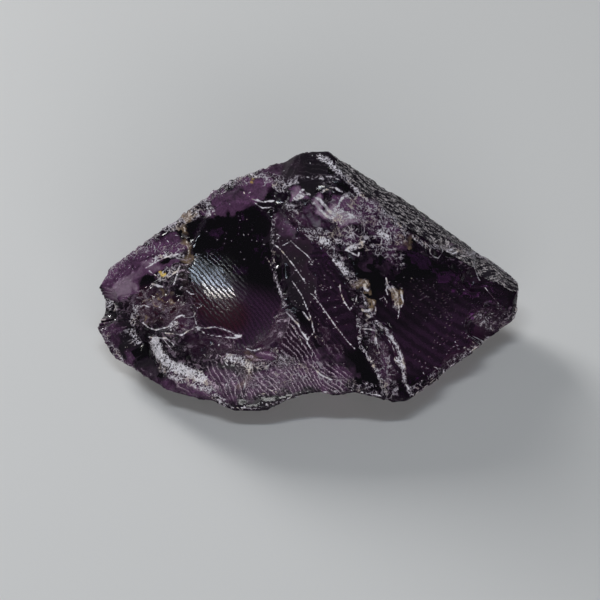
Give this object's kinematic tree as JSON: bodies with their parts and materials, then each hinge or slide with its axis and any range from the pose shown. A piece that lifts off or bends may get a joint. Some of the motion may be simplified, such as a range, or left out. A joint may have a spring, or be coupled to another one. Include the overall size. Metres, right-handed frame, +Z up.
{
  "type": "rough amethyst stone",
  "caption": "Broken piece of rough amethyst with flat and shell-like fracture faces, a rippled hollow and a strip of grooved natural skin, lying on a flat break.",
  "frame": {"origin": "under the middle of the stone, on the flat break that it rests on", "axes": "+X along the stone's length, towards its pointed right end; +Y away from the side with the rippled hollow; +Z up"},
  "size_m": [0.0506, 0.0285, 0.0213],
  "materials": {
    "amethyst": "dark violet see-through quartz, glossy on fresh breaks, frosted white along its edges"
  },
  "bodies": {
    "root": {"rough_amethyst": "amethyst"}
  },
  "joints": []
}
